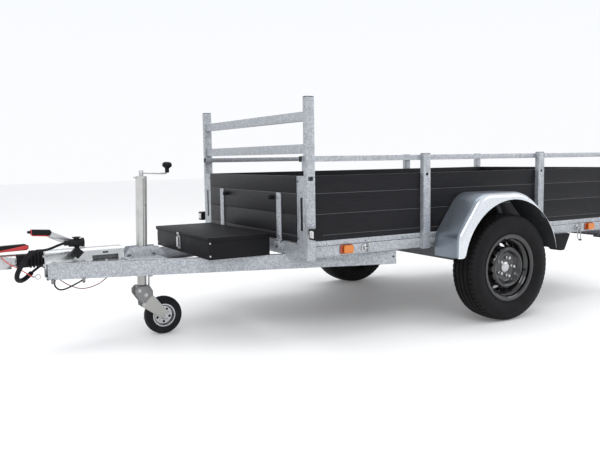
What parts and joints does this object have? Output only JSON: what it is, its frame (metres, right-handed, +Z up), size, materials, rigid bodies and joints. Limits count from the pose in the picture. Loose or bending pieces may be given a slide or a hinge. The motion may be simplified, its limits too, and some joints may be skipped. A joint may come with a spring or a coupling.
{
  "type": "single-axle utility trailer",
  "caption": "Braked box trailer with grooved boards, side rails, tall front frame, drop-down tailgate, tool box on the V drawbar, jockey wheel and ball coupling.",
  "frame": {"origin": "on the floor under the middle of the overall length and width", "axes": "+X rearward along the trailer, +Y to its right-hand side, +Z up"},
  "size_m": [4.087, 1.768, 1.274],
  "materials": {
    "galvanised": "hot-dip galvanised, matt with a spangle",
    "mudguard_sheet": "smooth silver-blue sheet",
    "bright_zinc": "bright zinc plate",
    "cream_zinc": "pale zinc plate",
    "satin_steel": "satin drawn steel tube",
    "drum_iron": "black painted iron",
    "rim_black": "gloss black",
    "black_paint": "matt black powder coat",
    "black_plastic": "matt moulded plastic",
    "anthracite_board": "anthracite faced board",
    "floor_ply": "dark film-faced plywood",
    "black_rubber": "matt rubber",
    "road_tyre": "tyre rubber",
    "cable_black": "matt cable sheath",
    "cable_red": "red coated wire rope",
    "wire_brown": "red-brown coated wire",
    "white_lens": "clear white lens in a black holder",
    "amber_lens": "amber lens",
    "red_lens": "red lens"
  },
  "bodies": {
    "chassis": {"axle_beam": "galvanised", "board_hinge_brackets": "galvanised", "brake_cable": "cable_black", "breakaway_cable": "cable_red", "breakaway_clip": "bright_zinc", "chassis_side_beams": "galvanised", "control_wire": "wire_brown", "coupling_handle": "black_plastic", "coupling_head": "bright_zinc", "coupling_shaft": "black_paint", "cross_members": "galvanised", "drawbar_rails": "galvanised", "floor_panel": "floor_ply", "front_corner_plates": "galvanised", "front_marker_lamps": "white_lens", "handbrake_grip": "black_plastic", "handbrake_lever": "bright_zinc", "headframe_crossbars": "galvanised", "headframe_posts": "galvanised", "jockey_bracket": "galvanised", "jockey_crank": "bright_zinc", "jockey_outer_tube": "cream_zinc", "lighting_cable": "cable_black", "mudguard_stays": "galvanised", "mudguards": "mudguard_sheet", "overrun_housing": "bright_zinc", "plug_holder": "black_plastic", "rear_lamp_bar": "galvanised", "rear_lamps": "red_lens", "shaft_gaiter": "black_rubber", "side_board_left": "anthracite_board", "side_board_right": "anthracite_board", "side_marker_lamps": "amber_lens", "side_stakes": "galvanised", "sill_strips": "galvanised", "storage_box": "black_paint", "swing_arms": "galvanised", "tie_rings": "bright_zinc", "top_rails": "galvanised", "trailer_plug": "black_plastic", "wheel_chocks": "black_rubber"},
    "front_board": {"front_board": "anthracite_board", "front_board_straps": "galvanised", "front_board_buffers": "black_rubber"},
    "tailgate": {"tailgate": "anthracite_board", "tailgate_straps": "galvanised"},
    "box_lid": {"storage_box_lid": "black_paint"},
    "wheel_left": {"tyre_left": "road_tyre", "rim_left": "rim_black", "hub_left": "drum_iron"},
    "wheel_right": {"tyre_right": "road_tyre", "rim_right": "rim_black", "hub_right": "drum_iron"},
    "jockey_leg": {"jockey_inner_tube": "satin_steel"},
    "jockey_fork": {"jockey_fork": "bright_zinc"},
    "jockey_wheel": {"jockey_tyre": "black_rubber", "jockey_rim": "bright_zinc"}
  },
  "joints": [
    {"name": "front_board_hinge", "type": "hinge", "parent": "chassis", "child": "front_board", "pos_m": [-0.5185, 0, 0.505], "axis": [0, 1, 0], "range_deg": [-45, 0]},
    {"name": "tailgate_hinge", "type": "hinge", "parent": "chassis", "child": "tailgate", "pos_m": [2.0335, 0, 0.505], "axis": [0, 1, 0], "range_deg": [0, 180]},
    {"name": "box_lid_hinge", "type": "hinge", "parent": "chassis", "child": "box_lid", "pos_m": [-0.5785, 0, 0.562], "axis": [0, 1, 0], "range_deg": [0, 100]},
    {"name": "wheel_left_spin", "type": "hinge", "parent": "chassis", "child": "wheel_left", "pos_m": [0.7615, -0.782, 0.314], "axis": [0, 1, 0], "continuous": true},
    {"name": "wheel_right_spin", "type": "hinge", "parent": "chassis", "child": "wheel_right", "pos_m": [0.7615, 0.782, 0.314], "axis": [0, 1, 0], "continuous": true},
    {"name": "jockey_slide", "type": "slide", "parent": "chassis", "child": "jockey_leg", "axis": [0.0297, 0, 0.9996], "range_m": [-0.13, 0.105]},
    {"name": "jockey_swivel", "type": "hinge", "parent": "jockey_leg", "child": "jockey_fork", "pos_m": [-1.16588, 0, 0.26346], "axis": [0.0297, 0, 0.9996], "continuous": true},
    {"name": "jockey_wheel_spin", "type": "hinge", "parent": "jockey_fork", "child": "jockey_wheel", "pos_m": [-1.0515, 0, 0.106], "axis": [0, 1, 0], "continuous": true}
  ]
}
